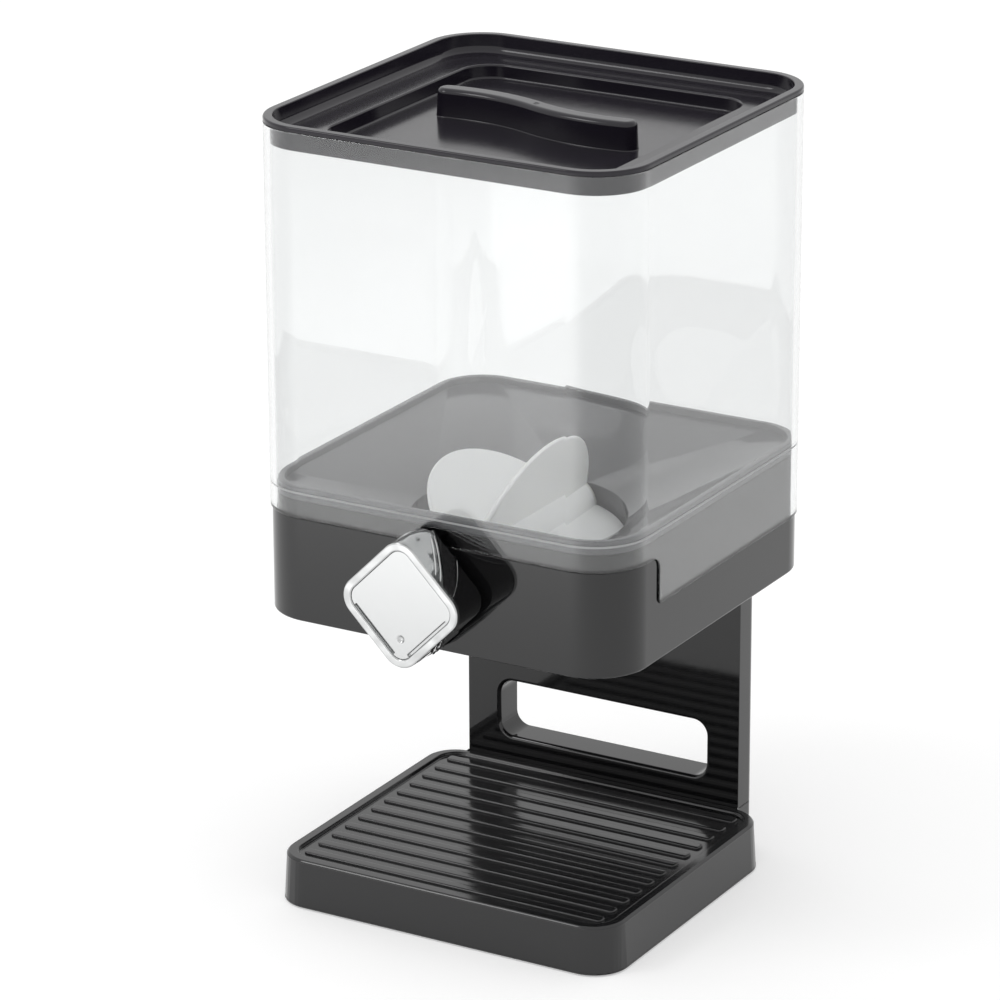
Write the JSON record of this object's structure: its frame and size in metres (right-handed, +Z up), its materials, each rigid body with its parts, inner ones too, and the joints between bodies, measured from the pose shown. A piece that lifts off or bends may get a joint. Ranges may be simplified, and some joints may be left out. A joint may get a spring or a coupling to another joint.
{
  "type": "countertop dry food dispenser",
  "caption": "Countertop cereal dispenser with a clear square canister, lift-off lid, portion wheel turned by a front knob, and a column stand with a ribbed tray.",
  "frame": {"origin": "on the table, at the middle of the part's plan outline, straight below the portion wheel's middle", "axes": "+Z up; -Y is the front, where the knob is; +X is to the right seen from the front; the wheel turns about Y"},
  "size_m": [0.17, 0.193, 0.3333],
  "materials": {
    "clear_san": "clear gloss",
    "black_abs": "gloss",
    "black_abs_hidden": "satin",
    "chrome_plating": "polished",
    "white_silicone": "satin translucent",
    "white_nylon": "satin",
    "shaft_steel": "ground",
    "screw_steel": "zinc plated",
    "black_rubber": "matt"
  },
  "bodies": {
    "stand": {"base": "black_abs", "base_feet": "black_rubber", "base_screws": "screw_steel", "column": "black_abs", "column_back": "black_abs_hidden", "column_screws": "screw_steel", "housing": "black_abs", "bottom_cover": "black_abs_hidden", "cover_screws": "screw_steel", "hopper": "black_abs_hidden", "front_bush": "white_nylon", "rear_bush": "white_nylon"},
    "rotor": {"drive_shaft": "shaft_steel", "wheel_hub": "white_nylon", "paddle_wheel": "white_silicone", "knob_core": "black_abs", "knob_shell": "chrome_plating", "knob_face": "chrome_plating", "knob_screw": "screw_steel"},
    "canister": {"canister": "clear_san"},
    "lid": {"lid": "black_abs"}
  },
  "joints": [
    {"name": "knob_turn", "type": "hinge", "parent": "stand", "child": "rotor", "pos_m": [0, 0, 0.154], "axis": [0, 1, 0], "continuous": true},
    {"name": "canister_lift", "type": "slide", "parent": "stand", "child": "canister", "axis": [0, 0, 1], "range_m": [0, 0.06]},
    {"name": "lid_lift", "type": "slide", "parent": "canister", "child": "lid", "axis": [0, 0, 1], "range_m": [0, 0.06]}
  ]
}
